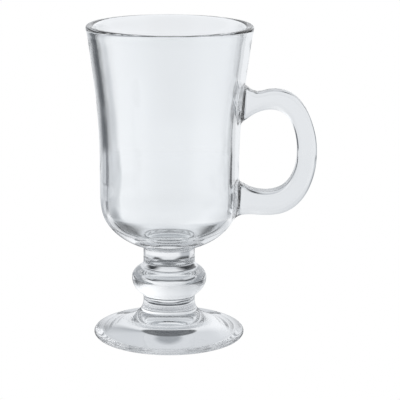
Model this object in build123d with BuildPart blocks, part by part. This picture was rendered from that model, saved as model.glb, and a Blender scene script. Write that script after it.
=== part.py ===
from build123d import *
import os

# Irish coffee mug in clear pressed glass: a flared bowl, a short knopped stem,
# a round foot and a C-shaped handle, four pieces of glass fused face to face.
# Millimetres. +Z is up along the axis of the bowl, the handle points to +X, and
# the origin is on the axis in the plane that the foot rests on.

# ---- driving dimensions -------------------------------------------------------
total_height = 147.0      # rest plane to the top of the lip
lip_radius = 38.45        # outer wall where the rounded lip starts
lip_start_z = 145.2       # height of that circle
lip_top_radius = 36.97    # highest circle of the lip
lip_inner_radius = 34.65  # inner wall where the rounded lip starts
lip_inner_z = 145.0       # height of that circle
neck_radius = 12.1        # neck above the knop
bowl_joint_z = 41.9       # bowl fused to the stem
stem_foot_radius = 12.25  # stem where it meets the foot
foot_joint_z = 15.2       # stem fused to the foot
well_floor_z = 47.4       # flat floor inside the bowl
well_floor_radius = 8.0   # radius of that flat floor
foot_radius = 35.45       # widest circle of the foot
foot_edge_z = 0.95        # height of that circle
foot_ring_in = 30.5       # inner radius of the flat ring that the foot rests on
foot_ring_out = 34.5      # outer radius of that ring
foot_hollow = 8.5         # depth of the dished underside at the axis
handle_depth = 9.4        # handle across its two flat side faces
handle_round = 2.3        # rounding of the handle's long edges

os.makedirs("parts", exist_ok=True)

# ---- outlines in the X-Z plane --------------------------------------------------
# Each outline is a run of arcs, every arc tangent to the one before it. The lists
# hold the ends of the arcs.

# outer wall of the bowl: small fillet on the neck, round bottom, straight side, flare
bowl_outer = [
    (12.9, 43.0),
    (19.96, 46.12),
    (27.58, 52.16),
    (31.42, 59.47),
    (32.43, 69.02),
    (32.4, 84.04),
    (34.35, 116.01),
    (37.32, 138.29),
    (lip_radius, lip_start_z),
]
# inner wall of the bowl, from the edge of its flat floor up to the lip
bowl_inner = [
    (15.34, 48.36),
    (24.01, 53.08),
    (27.26, 57.2),
    (28.29, 61.03),
    (28.5, 81.07),
    (30.5, 116.14),
    (33.4, 137.2),
    (lip_inner_radius, lip_inner_z),
]
# side of the stem, from the straight neck down over the knop to the foot
knop_top = (neck_radius, 36.0)
knop = [
    (13.44, 33.21),
    (15.48, 31.63),
    (17.37, 28.66),
    (16.55, 23.71),
    (13.56, 20.41),
    (12.09, 17.4),
    (stem_foot_radius, foot_joint_z),
]
# upper face of the foot, from the stem out and round to its widest circle
foot_start = (0.1191, -0.9929)
foot_top = [
    (13.07, 12.64),
    (16.77, 8.87),
    (23.21, 5.89),
    (34.2, 2.55),
    (foot_radius, foot_edge_z),
]
# dished underside of the foot, from the axis out to the flat ring
foot_dish = [
    (14.0, 6.565),
    (foot_ring_in, 0),
]
# handle seen from the side: outer edge and finger hole, top to bottom. Both start
# and end inside the wall of the bowl, and the bowl's own shape is cut out of them.
handle_outer_from = (31.5, 121.0)
handle_outer_start = (0.9345, -0.3558)
handle_outer = [
    (36.57, 117.87),
    (40.41, 116.36),
    (44.59, 116.93),
    (52.87, 117.0),
    (60.39, 112.2),
    (65.24, 104.14),
    (68.3, 90.02),
    (66.15, 74.1),
    (60.54, 64.43),
    (54.0, 59.91),
    (46.99, 58.5),
    (37.6, 58.82),
    (32.46, 57.38),
    (28.0, 53.0),
]
handle_inner_from = (30.5, 100.0)
handle_inner_start = (0.7645, 0.6447)
handle_inner = [
    (38.42, 105.89),
    (46.6, 108.48),
    (53.48, 105.87),
    (57.74, 98.63),
    (59.18, 88.0),
    (57.7, 78.73),
    (53.97, 72.98),
    (48.3, 70.13),
    (39.98, 70.32),
    (34.66, 72.64),
    (30.5, 76.2),
]


def arcs(start, direction, ends):
    """Run of tangent arcs in the line being built, through the given ends."""
    for end in ends:
        arc = TangentArc(start, end, tangent=direction)
        start, direction = arc @ 1, arc % 1


# ---- bowl ---------------------------------------------------------------------
with BuildPart() as bowl:
    with BuildSketch(Plane.XZ):
        with BuildLine():
            Line((0, well_floor_z), (0, bowl_joint_z))
            Line((0, bowl_joint_z), (neck_radius, bowl_joint_z))
            arcs((neck_radius, bowl_joint_z), (0, 1), bowl_outer)
            # rounded lip
            TangentArc((lip_top_radius, total_height), bowl_outer[-1], tangent=(1, 0))
            TangentArc((lip_top_radius, total_height), bowl_inner[-1], tangent=(-1, 0))
            # inside of the well
            Line((0, well_floor_z), (well_floor_radius, well_floor_z))
            arcs((well_floor_radius, well_floor_z), (1, 0), bowl_inner)
        make_face()
    revolve(axis=Axis.Z)
bowl.part.label = "bowl"

# ---- stem with its knop ---------------------------------------------------------
with BuildPart() as stem:
    with BuildSketch(Plane.XZ):
        with BuildLine():
            Line((0, foot_joint_z), (0, bowl_joint_z))
            Line((0, bowl_joint_z), (neck_radius, bowl_joint_z))
            Line((neck_radius, bowl_joint_z), knop_top)
            arcs(knop_top, (0, -1), knop)
            Line(knop[-1], (0, foot_joint_z))
        make_face()
    revolve(axis=Axis.Z)
stem.part.label = "stem"

# ---- foot -----------------------------------------------------------------------
with BuildPart() as foot:
    with BuildSketch(Plane.XZ):
        with BuildLine():
            Line((0, foot_joint_z), (stem_foot_radius, foot_joint_z))
            arcs((stem_foot_radius, foot_joint_z), foot_start, foot_top)
            # rounded lower edge and the flat ring
            TangentArc((foot_ring_out, 0), foot_top[-1], tangent=(1, 0))
            Line((foot_ring_out, 0), (foot_ring_in, 0))
            # dished underside
            arcs((0, foot_hollow), (1, 0), foot_dish)
            Line((0, foot_hollow), (0, foot_joint_z))
        make_face()
    revolve(axis=Axis.Z)
foot.part.label = "foot"

# ---- handle ---------------------------------------------------------------------
# solid of revolution inside the bowl's outer wall, which trims the handle's roots
with BuildPart() as bowl_core:
    with BuildSketch(Plane.XZ):
        with BuildLine():
            Line((0, bowl_joint_z), (neck_radius, bowl_joint_z))
            arcs((neck_radius, bowl_joint_z), (0, 1), bowl_outer)
            Line((lip_radius, lip_start_z), (0, lip_start_z))
            Line((0, lip_start_z), (0, bowl_joint_z))
        make_face()
    revolve(axis=Axis.Z)

with BuildPart() as handle:
    with BuildSketch(Plane.XZ):
        with BuildLine():
            arcs(handle_outer_from, handle_outer_start, handle_outer)
            Line(handle_outer[-1], handle_inner[-1])
            arcs(handle_inner_from, handle_inner_start, handle_inner)
            Line(handle_inner_from, handle_outer_from)
        make_face()
    extrude(amount=handle_depth / 2, both=True)
    long_edges = handle.edges().filter_by(
        lambda e: e.geom_type == GeomType.CIRCLE
        and abs(abs(e.center().Y) - handle_depth / 2) < 0.001
    )
    fillet(long_edges, radius=handle_round)
    add(bowl_core.part, mode=Mode.SUBTRACT)
handle.part.label = "handle"

# ---- files ------------------------------------------------------------------------
export_step(bowl.part, "parts/bowl.step")
export_step(stem.part, "parts/stem.step")
export_step(foot.part, "parts/foot.step")
export_step(handle.part, "parts/handle.step")

for piece in (bowl, stem, foot, handle):
    box = piece.part.bounding_box()
    print(
        piece.part.label,
        len(piece.part.solids()),
        "solid",
        round(piece.part.volume),
        "mm3",
        [round(v, 2) for v in (box.min.X, box.min.Y, box.min.Z)],
        [round(v, 2) for v in (box.max.X, box.max.Y, box.max.Z)],
    )
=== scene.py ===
import math

import bpy
import numpy as np
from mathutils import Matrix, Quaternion, Vector


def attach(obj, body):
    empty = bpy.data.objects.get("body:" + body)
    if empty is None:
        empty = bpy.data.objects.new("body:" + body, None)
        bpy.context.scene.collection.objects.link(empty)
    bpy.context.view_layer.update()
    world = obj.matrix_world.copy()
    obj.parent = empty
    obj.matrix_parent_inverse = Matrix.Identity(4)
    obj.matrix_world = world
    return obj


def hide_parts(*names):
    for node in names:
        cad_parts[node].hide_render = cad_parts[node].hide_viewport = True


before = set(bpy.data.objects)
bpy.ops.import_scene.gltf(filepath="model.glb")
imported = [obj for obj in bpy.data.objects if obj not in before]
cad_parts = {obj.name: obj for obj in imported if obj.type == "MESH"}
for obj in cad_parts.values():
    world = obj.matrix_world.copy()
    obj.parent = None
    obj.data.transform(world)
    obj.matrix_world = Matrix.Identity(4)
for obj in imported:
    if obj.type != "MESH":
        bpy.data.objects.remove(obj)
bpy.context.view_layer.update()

MM = 0.001

# ------------------------------------------------------------------ outlines, mm
# One closed glass wall: outside of the bowl, over the lip, down the inside.
NECK_R = 12.1
BOWL_JOINT_Z = 41.9
FOOT_JOINT_Z = 15.2

FILLET_R = 1.2
FILLET_TURN = math.radians(69.0)
bowl_fillet = [
    (
        NECK_R + FILLET_R * (1 - math.cos(FILLET_TURN * i / 8)),
        BOWL_JOINT_Z + FILLET_R * math.sin(FILLET_TURN * i / 8),
    )
    for i in range(9)
]
bowl_outside = [
    bowl_fillet[-1],
    (16.9, 44.65),
    (20.5, 46.45),
    (23.3, 48.25),
    (25.7, 50.25),
    (27.7, 52.35),
    (29.35, 54.55),
    (30.7, 57.1),
    (31.6, 60.05),
    (32.15, 63.5),
    (32.38, 68.0),
    (32.40, 76.0),
    (32.44, 86.0),
    (32.74, 96.0),
    (33.32, 105.0),
    (34.08, 114.0),
    (35.08, 122.0),
    (36.16, 130.0),
    (37.18, 137.5),
    (37.95, 142.5),
    (38.45, 145.2),
]
lip = [
    (38.47, 145.95),
    (38.12, 146.6),
    (37.42, 146.94),
    (36.62, 147.0),
    (35.82, 146.88),
    (35.2, 146.45),
    (34.84, 145.75),
]
bowl_inside = [
    (34.62, 144.8),
    (34.15, 142.0),
    (33.35, 137.0),
    (32.28, 129.5),
    (31.15, 121.5),
    (30.15, 113.0),
    (29.35, 104.0),
    (28.78, 94.0),
    (28.52, 84.0),
    (28.45, 74.0),
    (28.4, 61.35),
    (28.0, 59.28),
    (27.22, 57.27),
    (25.89, 55.13),
    (24.11, 53.17),
    (21.68, 51.25),
    (18.84, 49.68),
    (15.33, 48.4),
    (11.55, 47.63),
    (8.0, 47.4),
    (5.3, 47.4),
    (2.6, 47.4),
    (0.0, 47.4),
]
stem_side = [
    (12.25, 15.2),
    (12.1, 17.0),
    (12.25, 18.6),
    (13.0, 19.9),
    (14.85, 21.5),
    (16.25, 23.2),
    (17.15, 25.1),
    (17.5, 27.3),
    (17.25, 29.2),
    (16.15, 31.0),
    (14.25, 32.6),
    (12.7, 33.9),
    (12.15, 35.3),
    (12.1, 37.0),
    (12.1, 39.5),
    (12.1, 41.9),
]
foot_side = [
    (12.25, 15.2),
    (12.6, 13.6),
    (13.45, 11.9),
    (15.1, 10.1),
    (18.2, 8.1),
    (23.0, 5.95),
    (28.5, 4.15),
    (32.2, 3.1),
    (34.2, 2.55),
    (35.15, 2.0),
    (35.45, 1.3),
    (35.2, 0.5),
    (34.3, 0.0),
]
foot_under = [
    (30.5, 0.0),
    (27.85, 1.33),
    (25.16, 2.57),
    (22.42, 3.71),
    (19.65, 4.76),
    (16.84, 5.71),
    (14.0, 6.57),
    (11.25, 7.26),
    (8.47, 7.8),
    (5.66, 8.19),
    (2.83, 8.42),
    (0.0, 8.5),
]
# handle from the side, in the X-Z plane: outer edge and finger hole, top to bottom
handle_outer = [
    (36.2, 118.25),
    (38.0, 116.95),
    (41.2, 116.3),
    (44.6, 117.0),
    (48.6, 117.55),
    (52.9, 116.95),
    (56.6, 115.4),
    (60.4, 112.2),
    (63.2, 108.3),
    (65.2, 104.2),
    (66.7, 99.8),
    (67.8, 95.0),
    (68.3, 90.0),
    (68.25, 85.0),
    (67.5, 79.2),
    (66.1, 74.1),
    (64.0, 69.2),
    (61.0, 64.9),
    (57.2, 61.6),
    (52.6, 59.4),
    (46.7, 58.5),
    (41.0, 58.6),
    (37.6, 58.8),
    (35.0, 58.6),
]
handle_inner = [
    (36.0, 104.25),
    (38.4, 105.95),
    (41.6, 107.5),
    (46.6, 108.45),
    (51.0, 107.6),
    (54.9, 104.4),
    (57.7, 98.6),
    (58.95, 92.2),
    (59.15, 87.0),
    (58.5, 81.4),
    (56.4, 76.0),
    (52.8, 72.0),
    (48.3, 70.15),
    (42.2, 69.95),
    (37.8, 71.0),
    (35.4, 72.15),
]
HANDLE_HALF_DEPTH = 4.7
HANDLE_CORNER = 2.3

AROUND = 240          # lathe segments
RING_M, RING_N = 26, 30   # segments of a handle root ring: across, and up the wall


# ------------------------------------------------------------------ curves
def spline(points, start=None, end=None):
    """Smooth curve through points: a function of arc position and its length."""
    p = np.array(points, float)
    u = np.r_[0, np.cumsum(np.linalg.norm(np.diff(p, axis=0), axis=1))]
    n = len(p)
    h = np.diff(u)
    a = np.zeros((n, n))
    b = np.zeros((n, 2))
    for i in range(1, n - 1):
        a[i, i - 1] = h[i - 1]
        a[i, i] = 2 * (h[i - 1] + h[i])
        a[i, i + 1] = h[i]
        b[i] = 6 * ((p[i + 1] - p[i]) / h[i] - (p[i] - p[i - 1]) / h[i - 1])
    if start is None:
        a[0, 0] = 1
    else:
        t = np.array(start, float)
        t /= np.linalg.norm(t)
        a[0, 0], a[0, 1] = 2 * h[0], h[0]
        b[0] = 6 * ((p[1] - p[0]) / h[0] - t)
    if end is None:
        a[-1, -1] = 1
    else:
        t = np.array(end, float)
        t /= np.linalg.norm(t)
        a[-1, -1], a[-1, -2] = 2 * h[-1], h[-1]
        b[-1] = 6 * (t - (p[-1] - p[-2]) / h[-1])
    m = np.linalg.solve(a, b)

    def at(x):
        x = np.clip(np.atleast_1d(np.asarray(x, float)), 0, u[-1])
        i = np.clip(np.searchsorted(u, x, side="right") - 1, 0, n - 2)
        d = h[i]
        s, t = (x - u[i])[:, None], (u[i + 1] - x)[:, None]
        d = d[:, None]
        return (
            m[i] * t**3 / (6 * d)
            + m[i + 1] * s**3 / (6 * d)
            + (p[i] / d - m[i] * d / 6) * t
            + (p[i + 1] / d - m[i + 1] * d / 6) * s
        )

    fine = at(np.linspace(0, u[-1], 6000))
    run = np.r_[0, np.cumsum(np.linalg.norm(np.diff(fine, axis=0), axis=1))]
    grid = np.linspace(0, u[-1], 6000)
    return (lambda s: at(np.interp(s, run, grid))), run[-1]


def spaced(curve, length, step, low=2):
    n = max(low, int(round(length / step)))
    return curve(np.linspace(0, length, n + 1))


# ------------------------------------------------------------------ meshes
class Builder:
    """Vertices in mm, faces with a slot: 0 is glass, 1 is a fused joint face."""

    def __init__(self):
        self.v, self.f, self.s = [], [], []

    def add(self, xyz):
        self.v.append(tuple(float(c) for c in xyz))
        return len(self.v) - 1

    def face(self, ids, slot=0):
        ids = [k for i, k in enumerate(ids) if k != ids[i - 1]]
        if len(ids) > 2:
            self.f.append(ids)
            self.s.append(slot)

    def make(self, name, glass, joint):
        mesh = bpy.data.meshes.new(name)
        mesh.from_pydata([Vector(p) * MM for p in self.v], [], self.f)
        mesh.materials.append(glass)
        mesh.materials.append(joint)
        mesh.polygons.foreach_set("material_index", self.s)
        mesh.polygons.foreach_set("use_smooth", [True] * len(self.f))
        mesh.validate()
        mesh.update()
        # a joint face ends the glass sharply where it meets the outside
        kinds = {}
        for poly in mesh.polygons:
            for key in poly.edge_keys:
                kinds.setdefault(key, set()).add(poly.material_index)
        for e in mesh.edges:
            if e.key in kinds and len(kinds[e.key]) > 1:
                e.use_edge_sharp = True
        obj = bpy.data.objects.new(name, mesh)
        bpy.context.scene.collection.objects.link(obj)
        return obj


def turn(theta, r, z):
    return (r * math.cos(theta), r * math.sin(theta), z)


def ring_of(b, r, z, n=AROUND):
    return [b.add(turn(2 * math.pi * i / n, r, z)) for i in range(n)]


def bridge(b, lower, upper, slot=0, skip=None):
    """Quads between two rings that follow the side with the outward normal on the right."""
    n = len(lower)
    for i in range(n):
        if skip and skip(i):
            continue
        j = (i + 1) % n
        b.face([lower[i], lower[j], upper[j], upper[i]], slot)


def disc(b, rim, z, slot, up, rings=4):
    """Flat disc inside a rim of vertices; up is the way that its faces look."""
    n = len(rim)
    loops = [rim]
    for k in range(1, rings):
        t = 1 - k / rings
        loops.append([b.add((b.v[i][0] * t, b.v[i][1] * t, z)) for i in rim])
    centre = b.add((0, 0, z))
    for a, c in zip(loops, loops[1:]):
        for i in range(n):
            j = (i + 1) % n
            ids = [a[i], a[j], c[j], c[i]]
            b.face(ids if up else ids[::-1], slot)
    last = loops[-1]
    for i in range(n):
        ids = [last[i], last[(i + 1) % n], centre]
        b.face(ids if up else ids[::-1], slot)


# ---- outside of the bowl as a surface: distance along the profile, angle round it
side_curve, side_len = spline(
    bowl_outside + lip + bowl_inside, start=(math.sin(FILLET_TURN), math.cos(FILLET_TURN)), end=(-1, 0)
)
probe_s = np.linspace(0, side_len, 8000)
probe = side_curve(probe_s)
lip_at = int(np.argmax(probe[:, 1]))
lip_s = probe_s[lip_at]
out_z = probe[: lip_at + 1, 1]


def s_of_z(z):
    return float(np.interp(z, out_z, probe_s[: lip_at + 1]))


def on_bowl(y, s):
    """Point of the bowl's outside at profile distance s and sideways offset y, near +X."""
    r, z = side_curve(s)[0]
    return np.array((math.sqrt(max(r * r - y * y, 0)), y, z))


def bowl_normal(y, s):
    d = side_curve([s + 0.02])[0] - side_curve([s - 0.02])[0]
    r = side_curve(s)[0][0]
    th = math.asin(y / r)
    nr, nz = d[1], -d[0]
    k = math.hypot(nr, nz)
    return np.array((nr / k * math.cos(th), nr / k * math.sin(th), nz / k))


class Root:
    """Outline where the handle is fused to the bowl: a soft rectangle laid on the wall."""

    def __init__(self, z_low, z_high, half_width, power=3.0):
        self.s0, self.s1 = s_of_z(z_low), s_of_z(z_high)
        self.mid, self.half = (self.s0 + self.s1) / 2, (self.s1 - self.s0) / 2
        self.width = half_width
        t = np.linspace(-math.pi * 3 / 4, math.pi * 5 / 4, 4001)
        y = self.width * np.sign(np.cos(t)) * np.abs(np.cos(t)) ** (2 / power)
        v = self.half * np.sign(np.sin(t)) * np.abs(np.sin(t)) ** (2 / power)
        self.sides = []
        for k, n in enumerate((RING_M, RING_N, RING_M, RING_N)):
            a, c = k * 1000, (k + 1) * 1000 + 1
            py, pv = y[a:c], v[a:c]
            run = np.r_[0, np.cumsum(np.hypot(np.diff(py), np.diff(pv)))]
            at = np.linspace(0, run[-1], n + 1)
            self.sides.append(
                np.stack([np.interp(at, run, py), np.interp(at, run, pv)], 1)
            )

    def outline(self):
        """Sideways and along-profile coordinates: low side, +y side, high side, -y side."""
        return np.concatenate([s[:-1] for s in self.sides])

    def xyz(self, scale=1.0):
        return np.array(
            [on_bowl(y * scale, self.mid + v * scale) for y, v in self.outline()]
        )


root_top = Root(100.5, 120.2, 6.7)
root_low = Root(54.9, 75.4, 6.7)


def cap(b, loop_ids, root, order, slot, flip, rings=5):
    """Joint patch inside a root outline, on the bowl's surface."""
    pts = root.outline()[order]
    loops = [list(loop_ids)]
    for k in range(1, rings):
        t = 1 - k / rings
        loops.append([b.add(on_bowl(y * t, root.mid + v * t)) for y, v in pts])
    centre = b.add(on_bowl(0, root.mid))
    n = len(loops[0])
    for a, c in zip(loops, loops[1:]):
        for i in range(n):
            j = (i + 1) % n
            ids = [a[i], a[j], c[j], c[i]]
            b.face(ids[::-1] if flip else ids, slot)
    for i in range(n):
        ids = [loops[-1][i], loops[-1][(i + 1) % n], centre]
        b.face(ids[::-1] if flip else ids, slot)


def make_bowl(glass, joint):
    b = Builder()
    # rows up the outside, with whole rows at the edges of the two root blocks
    marks = [0.0, s_of_z(50.0), s_of_z(79.5), s_of_z(96.0), s_of_z(124.5), lip_s]
    steps = [16, RING_N, 15, RING_N, 22]
    rows_s = []
    for k, n in enumerate(steps):
        rows_s += list(np.linspace(marks[k], marks[k + 1], n, endpoint=False))
    first = {"low": steps[0], "top": sum(steps[:3])}
    rows_s += [lip_s]
    # down the inside, over the lip and round the bottom corner
    inner_n = 130
    rows_s += list(np.linspace(lip_s, side_len, inner_n + 1)[1:-1])
    # close up rows near the lip on both sides
    rows_s = np.array(rows_s)
    lip_band = np.linspace(lip_s - 2.6, lip_s + 2.6, 21)
    rows_s = rows_s[(rows_s < lip_s - 2.7) | (rows_s > lip_s + 2.7)]
    rows_s = np.sort(np.r_[rows_s, lip_band])
    half_m = RING_M // 2

    start_rings = [ring_of(b, r, z) for r, z in bowl_fillet[:-1]]
    disc(b, start_rings[0], BOWL_JOINT_Z, 1, up=False)
    rings = [ring_of(b, *side_curve(s)[0]) for s in rows_s]
    for lo, hi in zip(start_rings, start_rings[1:] + [rings[0]]):
        bridge(b, lo, hi)

    def in_block(i):
        return i < half_m or i >= AROUND - half_m

    blocks = {}
    for name in ("low", "top"):
        j0 = first[name]
        blocks[name] = (j0, j0 + RING_N)
    for j in range(len(rings) - 1):
        hole = any(a <= j < c for a, c in blocks.values())
        bridge(b, rings[j], rings[j + 1], skip=in_block if hole else None)
    pole = b.add((0, 0, side_curve(side_len)[0][1]))
    last = rings[-1]
    for i in range(AROUND):
        b.face([last[i], last[(i + 1) % AROUND], pole])

    # the wall between each block's edge and the handle's root outline
    for name, root in (("low", root_low), ("top", root_top)):
        j0, j1 = blocks[name]
        edge = []  # (vertex, angle, s), in the outline's order
        for i in range(-half_m, half_m):
            edge.append((j0, i))
        for j in range(j0, j1):
            edge.append((j, half_m))
        for i in range(half_m, -half_m, -1):
            edge.append((j1, i))
        for j in range(j1, j0, -1):
            edge.append((j, -half_m))
        outer_ids = [rings[j][i % AROUND] for j, i in edge]
        outer_ts = np.array(
            [(2 * math.pi * i / AROUND, rows_s[j]) for j, i in edge]
        )
        inner_ts = []
        for y, v in root.outline():
            s = root.mid + v
            inner_ts.append((math.asin(y / side_curve(s)[0][0]), s))
        inner_ts = np.array(inner_ts)
        loops = [outer_ids]
        depth = 6
        for k in range(1, depth + 1):
            t = k / depth
            mix = outer_ts * (1 - t) + inner_ts * t
            loops.append([b.add(turn(th, *side_curve(s)[0])) for th, s in mix])
        n = len(outer_ids)
        for a, c in zip(loops, loops[1:]):
            for i in range(n):
                j = (i + 1) % n
                b.face([a[i], a[j], c[j], c[i]])
        cap(b, loops[-1], root, np.arange(n), 1, flip=False)
    return b.make("mug_bowl", glass, joint)


def soft_section(half_a, half_d, corner):
    """Rounded rectangle, from its hole side: (along depth y, along thickness)."""

    def side(n, half_u, half_v):
        c = corner
        edge = 9
        out = []
        for i in range(edge):
            t = math.radians(45 * i / edge)
            w = math.radians(45) - t
            out.append((-half_u + c - c * math.sin(w), half_v - c + c * math.cos(w)))
        flat = n - 2 * edge
        for i in range(flat + 1):
            out.append((-half_u + c + (2 * half_u - 2 * c) * i / flat, half_v))
        for i in range(1, edge):
            t = math.radians(45 * i / edge)
            out.append((half_u - c + c * math.sin(t), half_v - c + c * math.cos(t)))
        return out

    pts = []
    for u, v in side(RING_M, half_d, half_a):      # hole side, y from - to +
        pts.append((u, -v))
    for u, v in side(RING_N, half_a, half_d):      # +y side, hole to outer
        pts.append((v, u))
    for u, v in side(RING_M, half_d, half_a):      # outer side, y from + to -
        pts.append((-u, v))
    for u, v in side(RING_N, half_a, half_d):      # -y side, outer to hole
        pts.append((-v, -u))
    return np.array(pts)


def make_handle(glass, joint):
    b = Builder()
    oc, ol = spline(handle_outer)
    ic, il = spline(handle_inner)
    count = 132
    ts = np.linspace(0, 1, count + 1)
    outer, inner = oc(ts * ol), ic(ts * il)
    sections = []
    for o, i in zip(outer, inner):
        c, e = (o + i) / 2, o - i
        a = np.linalg.norm(e) / 2
        e = e / (2 * a)
        sec = soft_section(a, HANDLE_HALF_DEPTH, HANDLE_CORNER)
        sections.append(
            np.array([(c[0] + e[0] * v, y, c[1] + e[1] * v) for y, v in sec])
        )
    p = len(sections[0])

    def fuse(root, order, sec, nxt, steps=10):
        """Rows from the root outline on the bowl to the first section of the bar."""
        outline = root.outline()
        ring = root.xyz()[order]
        mid = on_bowl(0, root.mid)
        rows = []
        tang, along = [], []
        for k in range(p):
            y, v = outline[order[k]]
            nrm = bowl_normal(y, root.mid + v)
            way = ring[(k + 1) % p] - ring[k - 1]
            t = np.cross(nrm, way)
            t /= np.linalg.norm(t)
            if np.dot(t, mid - ring[k]) < 0:
                t = -t
            tang.append(t)
            d = nxt[k] - sec[k]
            along.append(d / np.linalg.norm(d))
        tang, along = np.array(tang), np.array(along)
        gap = np.linalg.norm(sec - ring, axis=1)[:, None]
        for i in range(steps):
            s = i / steps
            h00, h10 = 2 * s**3 - 3 * s**2 + 1, s**3 - 2 * s**2 + s
            h01, h11 = -2 * s**3 + 3 * s**2, s**3 - s**2
            rows.append(
                h00 * ring + h10 * tang * gap * 1.15 + h01 * sec + h11 * along * gap * 1.25
            )
        return rows

    n = p
    straight = np.arange(n)
    # the low root's outline in the bar's order: its hole side is the high side
    m_, n_ = RING_M, RING_N
    low_order = np.array(
        [(m_ + n_ + m_ - k) % n for k in range(m_)]
        + [(m_ + n_ - k) % n for k in range(n_)]
        + [(m_ - k) % n for k in range(m_)]
        + [(-k) % n for k in range(n_)]
    )
    rows = fuse(root_top, straight, sections[0], sections[1])
    rows += sections
    low = fuse(root_low, low_order, sections[-1], sections[-2])
    rows += low[::-1]
    ids = [[b.add(q) for q in row] for row in rows]
    for a, c in zip(ids, ids[1:]):
        for i in range(n):
            j = (i + 1) % n
            b.face([a[i], a[j], c[j], c[i]])
    cap(b, ids[0], root_top, straight, 1, flip=True)
    cap(b, ids[-1], root_low, low_order, 1, flip=False)
    return b.make("mug_handle", glass, joint)


def make_stem(glass, joint):
    b = Builder()
    curve, length = spline(stem_side, start=(-0.12, 1), end=(0, 1))
    pts = spaced(curve, length, 0.35)
    rings = [ring_of(b, r, z) for r, z in pts]
    disc(b, rings[0], FOOT_JOINT_Z, 1, up=False)
    for lo, hi in zip(rings, rings[1:]):
        bridge(b, lo, hi)
    disc(b, rings[-1], BOWL_JOINT_Z, 1, up=True)
    return b.make("mug_stem", glass, joint)


def make_foot(glass, joint):
    b = Builder()
    curve, length = spline(foot_side, start=(0.12, -1), end=(-1, 0))
    pts = spaced(curve, length, 0.42)
    rings = [ring_of(b, r, z) for r, z in pts]
    under, under_len = spline(foot_under, start=(-1, 0.524), end=(-1, 0))
    flat = [ring_of(b, r, 0.0) for r in np.linspace(foot_side[-1][0], foot_under[0][0], 6)[1:]]
    hollow = spaced(under, under_len, 0.6)[1:-1]
    rings += flat + [ring_of(b, r, z) for r, z in hollow]
    disc(b, rings[0], FOOT_JOINT_Z, 1, up=True)
    for lo, hi in zip(rings, rings[1:]):
        bridge(b, hi, lo)
    pole = b.add((0, 0, foot_under[-1][1]))
    last = rings[-1]
    for i in range(AROUND):
        b.face([last[(i + 1) % AROUND], last[i], pole])
    return b.make("mug_foot", glass, joint)


# ------------------------------------------------------------------ materials
def glass_material(name, low, high):
    """Pressed glass whose tint wanders between two colours."""
    mat = bpy.data.materials.new(name)
    mat.use_nodes = True
    nt = mat.node_tree
    nt.nodes.clear()
    out = nt.nodes.new("ShaderNodeOutputMaterial")
    bsdf = nt.nodes.new("ShaderNodeBsdfPrincipled")
    bsdf.inputs["Roughness"].default_value = 0.0
    bsdf.inputs["IOR"].default_value = 1.52
    bsdf.inputs["Transmission Weight"].default_value = 1.0
    coord = nt.nodes.new("ShaderNodeTexCoord")
    # the faint waviness that a mould leaves in pressed glass
    wave = nt.nodes.new("ShaderNodeTexNoise")
    wave.inputs["Scale"].default_value = 55.0
    wave.inputs["Detail"].default_value = 1.0
    bump = nt.nodes.new("ShaderNodeBump")
    bump.inputs["Strength"].default_value = 0.002
    bump.inputs["Distance"].default_value = 0.001
    # the melt is not quite even: a trace of cool green comes and goes
    melt = nt.nodes.new("ShaderNodeTexNoise")
    melt.inputs["Scale"].default_value = 18.0
    melt.inputs["Detail"].default_value = 2.0
    tint = nt.nodes.new("ShaderNodeValToRGB")
    tint.color_ramp.elements[0].position = 0.3
    tint.color_ramp.elements[0].color = (*low, 1)
    tint.color_ramp.elements[1].position = 0.7
    tint.color_ramp.elements[1].color = (*high, 1)
    links = nt.links
    links.new(coord.outputs["Object"], wave.inputs["Vector"])
    links.new(coord.outputs["Object"], melt.inputs["Vector"])
    links.new(wave.outputs["Fac"], bump.inputs["Height"])
    links.new(bump.outputs["Normal"], bsdf.inputs["Normal"])
    links.new(melt.outputs["Fac"], tint.inputs["Fac"])
    links.new(tint.outputs["Color"], bsdf.inputs["Base Color"])
    links.new(bsdf.outputs["BSDF"], out.inputs["Surface"])
    return mat


def joint_material():
    """Inside face of a fused joint: the glass runs on, so nothing shows."""
    mat = bpy.data.materials.new("fused_joint")
    mat.use_nodes = True
    nt = mat.node_tree
    nt.nodes.clear()
    out = nt.nodes.new("ShaderNodeOutputMaterial")
    clear = nt.nodes.new("ShaderNodeBsdfTransparent")
    clear.inputs["Color"].default_value = (1, 1, 1, 1)
    nt.links.new(clear.outputs["BSDF"], out.inputs["Surface"])
    return mat


glass = glass_material("clear_pressed_glass", (0.970, 0.982, 0.985), (0.978, 0.988, 0.994))
# the solid bar of the handle is the thickest glass; it gets a darker copy of the same glass: painted
# shade on the handle
shaded_handle_glass = glass_material("handle_glass_painted_shade", (0.885, 0.899, 0.905), (0.895, 0.909, 0.917))
joint = joint_material()
for make, node, kind in (
    (make_bowl, "bowl", glass),
    (make_stem, "stem", glass),
    (make_foot, "foot", glass),
    (make_handle, "handle", shaded_handle_glass),
):
    piece = make(kind, joint)
    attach(piece, "root")
    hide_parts(node)

# ------------------------------------------------------------------ floor and light
floor_mesh = bpy.data.meshes.new("floor")
side = 6.0
floor_mesh.from_pydata(
    [(-side, -side, -0.0002), (side, -side, -0.0002), (side, side, -0.0002), (-side, side, -0.0002)],
    [],
    [(0, 1, 2, 3)],
)
floor = bpy.data.objects.new("floor", floor_mesh)
bpy.context.scene.collection.objects.link(floor)
floor_mat = bpy.data.materials.new("white_floor")
floor_mat.use_nodes = True
nt = floor_mat.node_tree
nt.nodes.clear()
f_out = nt.nodes.new("ShaderNodeOutputMaterial")
f_emit = nt.nodes.new("ShaderNodeEmission")
f_emit.inputs["Color"].default_value = (1, 1, 1, 1)
f_emit.inputs["Strength"].default_value = 1.0
nt.links.new(f_emit.outputs["Emission"], f_out.inputs["Surface"])
floor_mesh.materials.append(floor_mat)
floor.visible_transmission = False
floor.visible_glossy = False
floor.visible_diffuse = False

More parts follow.
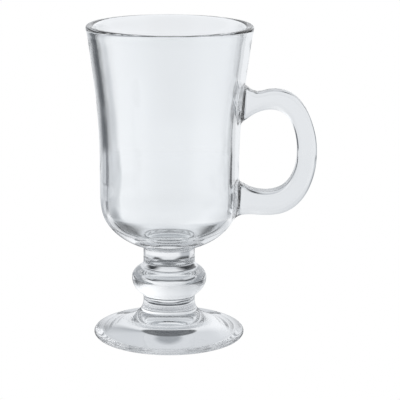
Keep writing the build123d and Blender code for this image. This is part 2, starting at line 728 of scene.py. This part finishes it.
world = bpy.data.worlds.new("studio")
bpy.context.scene.world = world
world.use_nodes = True
nt = world.node_tree
nt.nodes.clear()


def node(kind, **values):
    n = nt.nodes.new(kind)
    for k, v in values.items():
        setattr(n, k, v)
    return n


def math_node(op, a, c=None):
    n = node("ShaderNodeMath", operation=op)
    for i, x in enumerate((a, c)):
        if x is None:
            continue
        if isinstance(x, (int, float)):
            n.inputs[i].default_value = x
        else:
            nt.links.new(x, n.inputs[i])
    return n.outputs[0]


def grey(v):
    """Studio grey of brightness v: white is near neutral, shadow is cool."""
    dim = max(0.0, 1.0 - v)
    return (v * (0.99 - 0.08 * dim), v * (0.997 - 0.01 * dim), v * (1.015 + 0.07 * dim), 1)


def round_ramp(azim, stops):
    """Brightness round the mug: stops of azimuth in degrees and brightness."""
    n = node("ShaderNodeValToRGB")
    els = n.color_ramp.elements
    while len(els) < len(stops):
        els.new(0.5)
    for el, (a, v) in zip(els, stops):
        el.position = a / 360.0 + 0.5
        el.color = grey(v)
    nt.links.new(azim, n.inputs["Fac"])
    return n.outputs["Color"]


def step_up(value, low, high):
    n = node("ShaderNodeMapRange", interpolation_type="SMOOTHSTEP", clamp=True)
    n.inputs["From Min"].default_value = low
    n.inputs["From Max"].default_value = high
    nt.links.new(value, n.inputs["Value"])
    return n.outputs["Result"]


def layers(azim, height, bands):
    """Ramps blended one into the next along height."""
    out = None
    for k, (at, stops) in enumerate(bands):
        colour = round_ramp(azim, stops)
        if out is None:
            out = colour
            continue
        n = node("ShaderNodeMix", data_type="RGBA")
        nt.links.new(step_up(height, bands[k - 1][0], at), n.inputs["Factor"])
        nt.links.new(out, n.inputs["A"])
        nt.links.new(colour, n.inputs["B"])
        out = n.outputs["Result"]
    return out


def azimuth(vector):
    """Azimuth as 0 to 1, 0.5 straight behind the mug, and the split vector."""
    split = node("ShaderNodeSeparateXYZ")
    nt.links.new(vector, split.inputs[0])
    turn_ = math_node("ARCTAN2", split.outputs["X"], split.outputs["Y"])
    return math_node("ADD", math_node("DIVIDE", turn_, 2 * math.pi), 0.5), split


# Azimuth 0 is straight behind the mug, negative to the left, 180 at the front; the
# first number of a band is its elevation in degrees. White sweep behind, dark gap and
# big softbox on the left, gap and reflector card on the right, pale ceiling, and a dim
# room in front.
coord = node("ShaderNodeTexCoord")
azim, split = azimuth(coord.outputs["Generated"])
rise = math_node("MULTIPLY", math_node("ARCSINE", split.outputs["Z"]), 180 / math.pi)
walls = [
    (-180, 0.05), (-158, 0.05), (-140, 0.30), (-95, 0.35), (-72, 0.85), (-45, 0.85),
    (-26, 0.75), (0, 0.90), (12, 1.05), (28, 1.25), (45, 1.25), (60, 1.0), (80, 0.50),
    (95, 0.35), (140, 0.30), (158, 0.05), (180, 0.05),
]
room = layers(azim, rise, [
    (-11.5, [
        (-180, 0.55), (-150, 0.60), (-105, 1.0), (-58, 1.0), (-51, 0.10), (-28, 0.14),
        (-15, 0.70), (-13, 0.75), (-12.5, 0.95), (12, 0.90), (44, 0.87), (47, 0.03),
        (60, 0.03), (64, 0.80), (130, 0.85), (150, 0.60), (180, 0.55),
    ]),
    (-9, [
        (-180, 0.55), (-150, 0.60), (-105, 1.0), (-66, 0.90), (-54, 0.30), (-47, 0.30),
        (-43, 0.70), (-24, 0.65), (-13, 0.80), (-12.5, 0.95), (12, 0.90), (28, 0.87),
        (33, 0.12), (60, 0.03), (64, 0.80), (130, 0.85), (150, 0.60), (180, 0.55),
    ]),
    (-3, [
        (-180, 0.15), (-135, 0.40), (-100, 0.70), (-60, 0.60), (-50, 0.25), (-30, 0.35),
        (-14, 0.85), (0, 0.90), (28, 0.90), (33, 0.12), (62, 0.12), (72, 0.70), (130, 0.85),
        (150, 0.40), (180, 0.15),
    ]),
    (10, walls),
    (25, walls),
    (42, [
        (-180, 0.20), (-158, 0.20), (-140, 0.40), (-100, 0.45), (-70, 0.80), (0, 0.60),
        (47, 0.70), (66, 0.50), (140, 0.40), (158, 0.20), (180, 0.20),
    ]),
    (62, [
        (-180, 0.20), (-140, 0.30), (-60, 0.80), (60, 0.80), (140, 0.30), (180, 0.20),
    ]),
    (76, [(-180, 0.60), (180, 0.60)]),
])
lit = node("ShaderNodeBackground")
nt.links.new(room, lit.inputs["Color"])
plain_white = node("ShaderNodeBackground")
plain_white.inputs["Color"].default_value = (1, 1, 1, 1)
path = node("ShaderNodeLightPath")
both = node("ShaderNodeMixShader")
w_out = node("ShaderNodeOutputWorld")
nt.links.new(path.outputs["Is Camera Ray"], both.inputs[0])
nt.links.new(lit.outputs[0], both.inputs[1])
nt.links.new(plain_white.outputs[0], both.inputs[2])
nt.links.new(both.outputs[0], w_out.inputs["Surface"])

# The table top round the mug, as the glass shows it: a glowing disc that the camera doesn't see,
# white, with painted soft shadows of the mug to its left and right and painted shade under its
# foot. The first number of a band is its distance from the axis in millimetres.
TABLE_R = 0.44
table_mesh = bpy.data.meshes.new("table")
ring = [
    (TABLE_R * math.cos(2 * math.pi * k / 96), TABLE_R * math.sin(2 * math.pi * k / 96), -0.0004)
    for k in range(96)
]
table_mesh.from_pydata(ring, [], [tuple(range(96))])
table = bpy.data.objects.new("table", table_mesh)
bpy.context.scene.collection.objects.link(table)
table_mat = bpy.data.materials.new("glowing_table_painted_shadows")
table_mat.use_nodes = True
nt = table_mat.node_tree
nt.nodes.clear()
coord = node("ShaderNodeTexCoord")
azim, split = azimuth(coord.outputs["Object"])
size = node("ShaderNodeVectorMath", operation="LENGTH")
nt.links.new(coord.outputs["Object"], size.inputs[0])
away = math_node("MULTIPLY", size.outputs["Value"], 1000.0)
table_glow_painted_shadows = layers(azim, away, [
    (22, [
        (-180, 0.70), (-110, 0.65), (-86, 0.40), (-64, 0.85), (-30, 0.90), (30, 0.90),
        (70, 0.85), (100, 0.70), (180, 0.70),
    ]),
    (28, [
        (-180, 0.70), (-110, 0.65), (-86, 0.40), (-64, 0.85), (-30, 0.85), (-20, 0.40),
        (20, 0.40), (30, 0.85), (70, 0.85), (100, 0.70), (180, 0.70),
    ]),
    (38, [
        (-180, 0.05), (-80, 0.05), (-62, 0.50), (-45, 0.90), (0, 0.60), (45, 0.80),
        (60, 0.30), (72, 0.05), (180, 0.05),
    ]),
    (55, [
        (-180, 0.05), (-150, 0.40), (-120, 0.05), (-75, 0.05), (-50, 0.75), (-16, 0.60),
        (-12, 0.12), (12, 0.12), (16, 0.60), (52, 0.80), (68, 0.05), (120, 0.05),
        (150, 0.40), (180, 0.05),
    ]),
    (80, [
        (-180, 0.15), (-150, 1.0), (-122, 0.05), (-66, 0.05), (-54, 0.90), (-44, 0.90),
        (-37, 0.04), (-14, 0.03), (-6, 0.75), (6, 0.80), (14, 0.03), (24, 0.05),
        (32, 0.85), (52, 0.85), (66, 0.20), (122, 0.05), (150, 1.0), (180, 0.15),
    ]),
    (105, [
        (-180, 0.10), (-150, 1.0), (-122, 0.10), (-65, 0.10), (-55, 0.80), (-42, 0.80),
        (-36, 0.05), (-18, 0.03), (-8, 0.85), (8, 0.85), (16, 0.03), (21, 0.03),
        (25, 0.65), (50, 0.75), (70, 0.35), (95, 0.05), (122, 0.45), (150, 1.0), (180, 0.10),
    ]),
    (130, [
        (-180, 0.05), (-150, 0.30), (-120, 0.90), (-98, 0.10), (-74, 0.10), (-60, 0.80),
        (-42, 0.85), (-35, 0.20), (-20, 0.15), (-11, 0.80), (0, 0.90), (20, 0.65),
        (50, 0.80), (70, 0.20), (95, 0.05), (120, 1.0), (150, 0.95), (180, 0.05),
    ]),
    (155, [
        (-180, 0.05), (-150, 0.30), (-120, 0.95), (-96, 0.50), (-75, 0.10), (-60, 0.90),
        (-44, 0.90), (-38, 0.55), (-21, 0.50), (-14, 0.90), (0, 0.95), (48, 1.0),
        (68, 0.20), (93, 0.20), (120, 1.0), (150, 0.30), (180, 0.05),
    ]),
    (200, [
        (-180, 0.20), (-150, 0.35), (-120, 1.0), (-95, 0.90), (-76, 0.10), (-58, 0.95),
        (-46, 0.95), (-40, 0.25), (-20, 0.30), (-17, 0.60), (-16.5, 0.95), (40, 0.90),
        (52, 0.70), (66, 0.15), (92, 0.30), (120, 0.95), (150, 0.35), (180, 0.20),
    ]),
    (330, [
        (-180, 0.55), (-150, 0.60), (-105, 1.0), (-95, 1.0), (-66, 0.85), (-54, 0.20),
        (-46, 0.20), (-42, 0.70), (-26, 0.50), (-15, 0.75), (-14.5, 0.95), (12, 0.90),
        (44, 0.87), (47, 0.03), (60, 0.03), (64, 0.85), (130, 0.85), (150, 0.60), (180, 0.55),
    ]),
])
# painted shadow of the stem under the foot: a disc, and fainter painted ones to the front and back
def shade(under, squeeze, centre, low, high, depth):
    scaled = node("ShaderNodeVectorMath", operation="MULTIPLY")
    scaled.inputs[1].default_value = squeeze
    nt.links.new(coord.outputs["Object"], scaled.inputs[0])
    spot = node("ShaderNodeVectorMath", operation="DISTANCE")
    spot.inputs[1].default_value = centre
    nt.links.new(scaled.outputs["Vector"], spot.inputs[0])
    mix = node("ShaderNodeMix", data_type="RGBA")
    mix.inputs["A"].default_value = grey(depth)
    nt.links.new(step_up(spot.outputs["Value"], low, high), mix.inputs["Factor"])
    nt.links.new(under, mix.inputs["B"])
    return mix.outputs["Result"]


# painted shadows on the glowing table: in front of the stem, behind it, and the disc under the foot
table_glow_painted_shadows = shade(table_glow_painted_shadows, (1.6, 1, 1), (0, -0.013, 0), 0.006, 0.013, 0.35)
table_glow_painted_shadows = shade(table_glow_painted_shadows, (1, 1, 1), (0, 0.0085, 0), 0.009, 0.013, 0.30)
table_glow_painted_shadows = shade(table_glow_painted_shadows, (1.05, 1, 1), (0, 0.003, 0), 0.0125, 0.0145, 0.10)
t_emit = node("ShaderNodeEmission")
nt.links.new(table_glow_painted_shadows, t_emit.inputs["Color"])
t_end = node("ShaderNodeBsdfTransparent")
t_mix = node("ShaderNodeMixShader")
t_out = node("ShaderNodeOutputMaterial")
nt.links.new(step_up(away, 385, 435), t_mix.inputs[0])
nt.links.new(t_emit.outputs["Emission"], t_mix.inputs[1])
nt.links.new(t_end.outputs["BSDF"], t_mix.inputs[2])
nt.links.new(t_mix.outputs[0], t_out.inputs["Surface"])
table_mesh.materials.append(table_mat)
table.visible_camera = False
table.visible_diffuse = False
table.visible_shadow = False

scene = bpy.context.scene
scene.view_settings.view_transform = "Standard"
scene.view_settings.look = "None"
scene.cycles.max_bounces = 48
scene.cycles.transmission_bounces = 48
scene.cycles.glossy_bounces = 32
scene.cycles.transparent_max_bounces = 96

# ------------------------------------------------------------------ camera
cam_data = bpy.data.cameras.new("camera")
cam_data.sensor_width = 36.0
cam_data.lens = 36.0 * 1700 / 400
cam_data.clip_start = 0.01
cam = bpy.data.objects.new("camera", cam_data)
scene.collection.objects.link(cam)
cam.location = (0.01432, -0.7731, 0.2508)
cam.rotation_mode = "QUATERNION"
look = Vector((0, math.cos(math.radians(13.53)), -math.sin(math.radians(13.53))))
turned = look.to_track_quat("-Z", "Y")
roll = Vector((0, 0, 1))
cam.rotation_quaternion = turned @ Quaternion(roll, math.radians(0.41))
scene.camera = cam

bpy.context.view_layer.update()
